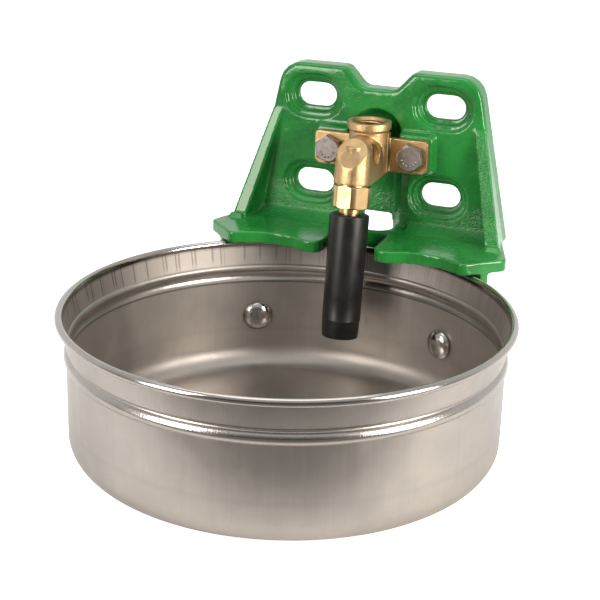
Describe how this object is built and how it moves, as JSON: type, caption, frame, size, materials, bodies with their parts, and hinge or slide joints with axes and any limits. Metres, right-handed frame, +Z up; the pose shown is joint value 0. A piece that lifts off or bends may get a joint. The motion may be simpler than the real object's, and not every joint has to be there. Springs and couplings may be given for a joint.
{
  "type": "livestock drinking bowl",
  "caption": "Wall-mounted livestock drinking bowl of drawn stainless steel, hung from a cast bracket, with a brass valve worked by pushing a rubber-sleeved tube.",
  "frame": {"origin": "middle of the bowl's base, where its axis meets the surface it can stand on", "axes": "+Z up along the bowl's axis, +Y back to the wall, +X to the right of someone facing the wall"},
  "size_m": [0.2798, 0.3169, 0.209],
  "materials": {
    "stainless": "drawn stainless sheet, bright inside with fine drawing lines, finely brushed outside",
    "green_enamel": "glossy green enamel over cast iron",
    "cast_brass": "blasted cast brass, satin",
    "turned_brass": "turned brass, semi-bright",
    "zinc_steel": "zinc-plated steel",
    "polished_steel": "polished stainless steel",
    "rubber": "matt black rubber",
    "acetal": "white moulded plastic"
  },
  "bodies": {
    "drinker": {"bowl": "stainless", "bowl_bolt_left": "polished_steel", "bowl_bolt_right": "polished_steel", "bowl_seal_left": "rubber", "bowl_seal_right": "rubber", "bowl_washer_left": "zinc_steel", "bowl_washer_right": "zinc_steel", "bowl_nut_left": "zinc_steel", "bowl_nut_right": "zinc_steel", "bracket": "green_enamel", "valve_body": "cast_brass", "valve_bolt_left": "zinc_steel", "valve_bolt_right": "zinc_steel", "valve_washer_left": "zinc_steel", "valve_washer_right": "zinc_steel", "valve_nut_left": "zinc_steel", "valve_nut_right": "zinc_steel", "outlet_nut": "turned_brass", "seat_ring": "acetal", "valve_spring": "zinc_steel"},
    "flow_plug": {"flow_plug": "turned_brass", "flow_plug_ring": "rubber"},
    "plunger": {"plunger": "turned_brass", "plunger_seal": "rubber"},
    "pivot_ring": {"pivot_ring": "acetal"},
    "tube": {"outlet_tube": "turned_brass", "rubber_sleeve": "rubber"}
  },
  "joints": [
    {"name": "tilt_x", "type": "hinge", "parent": "drinker", "child": "pivot_ring", "pos_m": [0, 0.11317, 0.13526], "axis": [1, 0, 0], "range_deg": [-6, 6], "stiffness_Nm_per_rad": 2},
    {"name": "tilt_y", "type": "hinge", "parent": "pivot_ring", "child": "tube", "pos_m": [0, 0.11317, 0.13526], "axis": [0, 0.9903, -0.1392], "range_deg": [-6, 6], "stiffness_Nm_per_rad": 2},
    {"name": "plunger_lift", "type": "slide", "parent": "drinker", "child": "plunger", "axis": [0, 0.1392, 0.9903], "range_m": [0, 0.0015], "stiffness_N_per_m": 500, "deforming": ["valve_spring"]},
    {"name": "flow_plug_turn", "type": "hinge", "parent": "drinker", "child": "flow_plug", "pos_m": [0, 0.1265, 0.1594], "axis": [1, 0, 0], "range_deg": [0, 90]}
  ]
}
